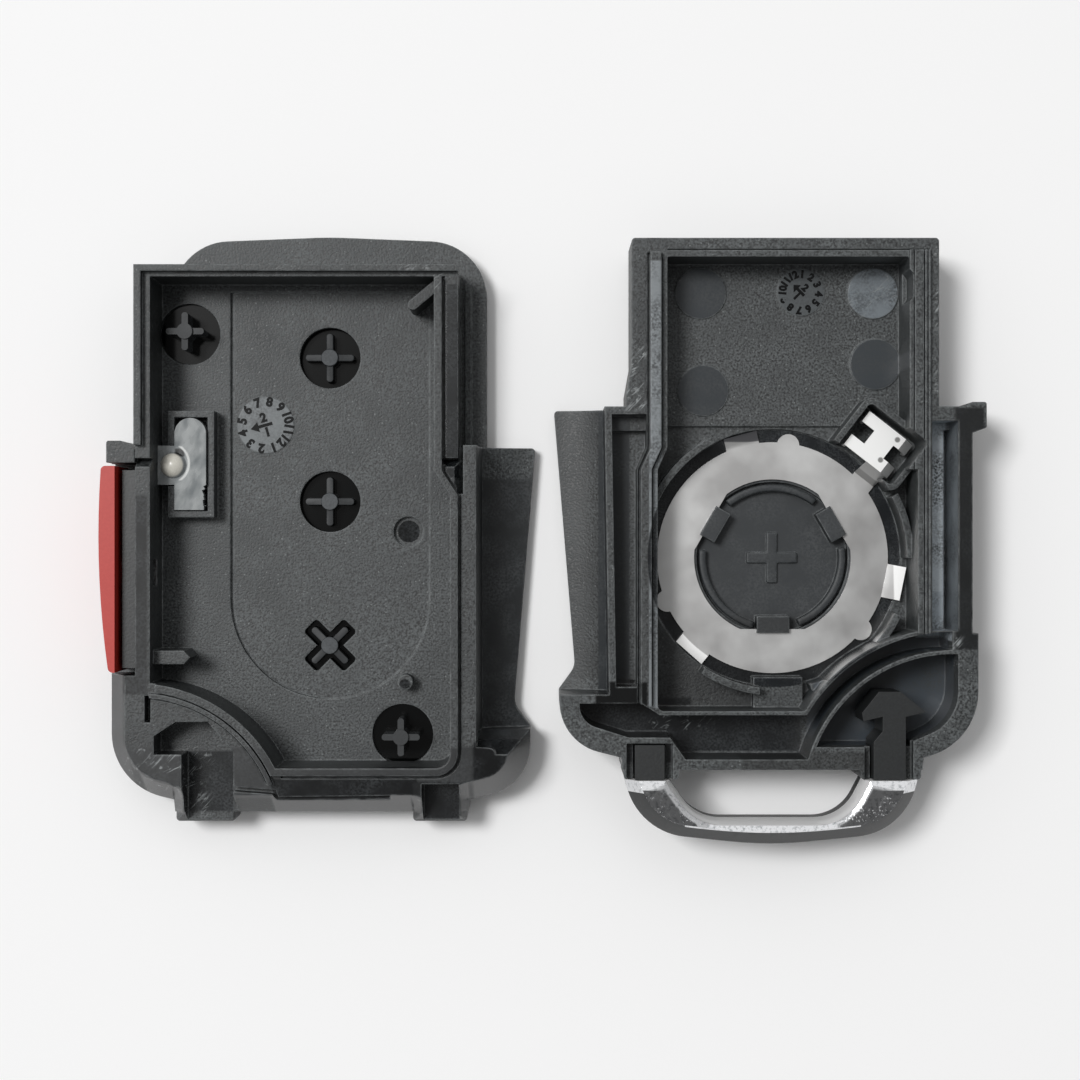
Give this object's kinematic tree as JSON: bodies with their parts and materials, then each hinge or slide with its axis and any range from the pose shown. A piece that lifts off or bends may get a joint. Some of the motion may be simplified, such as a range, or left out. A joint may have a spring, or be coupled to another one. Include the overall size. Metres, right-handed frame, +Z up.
{
  "type": "key fob shell",
  "caption": "Opened plastic shell of a flip-key remote: front half with push buttons and a side panic button, rear half with a coin-cell contact and a key-ring loop.",
  "frame": {"origin": "on the table, under the middle of the two opened halves", "axes": "+Z up from the outer faces to the insides, +X from the front half to the rear half, +Y towards the tongues that slide into the key head"},
  "size_m": [0.069, 0.048, 0.0081],
  "materials": {
    "front_shell_pa6": "fine spark-eroded texture, glass-filled polyamide",
    "soft_face_tpe": "matt soft-touch skin",
    "button_tpe": "matt, moulded",
    "panic_red": "satin red",
    "carrier_black": "matt, moulded",
    "clear_guide": "clear acrylic, smooth with moulding marks",
    "rear_shell_pa6": "fine spark-eroded texture, glossy channels",
    "nickel_contact": "stamped, nickel plated",
    "loop_black": "matt, moulded",
    "loop_chrome": "bright plating"
  },
  "bodies": {
    "root": {"front_shell": "front_shell_pa6", "soft_face": "soft_face_tpe", "panic_carrier": "carrier_black", "light_guide": "clear_guide", "rear_shell": "rear_shell_pa6", "battery_contact": "nickel_contact", "loop_core": "loop_black", "loop_trim": "loop_chrome"},
    "unlock": {"unlock_button": "button_tpe"},
    "lock": {"lock_button": "button_tpe"},
    "boot": {"boot_button": "button_tpe"},
    "panic": {"panic_button": "panic_red"}
  },
  "joints": [
    {"name": "unlock_press", "type": "slide", "parent": "root", "child": "unlock", "axis": [0, 0, 1], "range_m": [0, 0.0003], "stiffness_N_per_m": 400},
    {"name": "lock_press", "type": "slide", "parent": "root", "child": "lock", "axis": [0, 0, 1], "range_m": [0, 0.0003], "stiffness_N_per_m": 400},
    {"name": "boot_press", "type": "slide", "parent": "root", "child": "boot", "axis": [0, 0, 1], "range_m": [0, 0.0003], "stiffness_N_per_m": 400},
    {"name": "panic_press", "type": "slide", "parent": "root", "child": "panic", "axis": [1, 0, 0], "range_m": [0, 0.00025], "stiffness_N_per_m": 400}
  ]
}
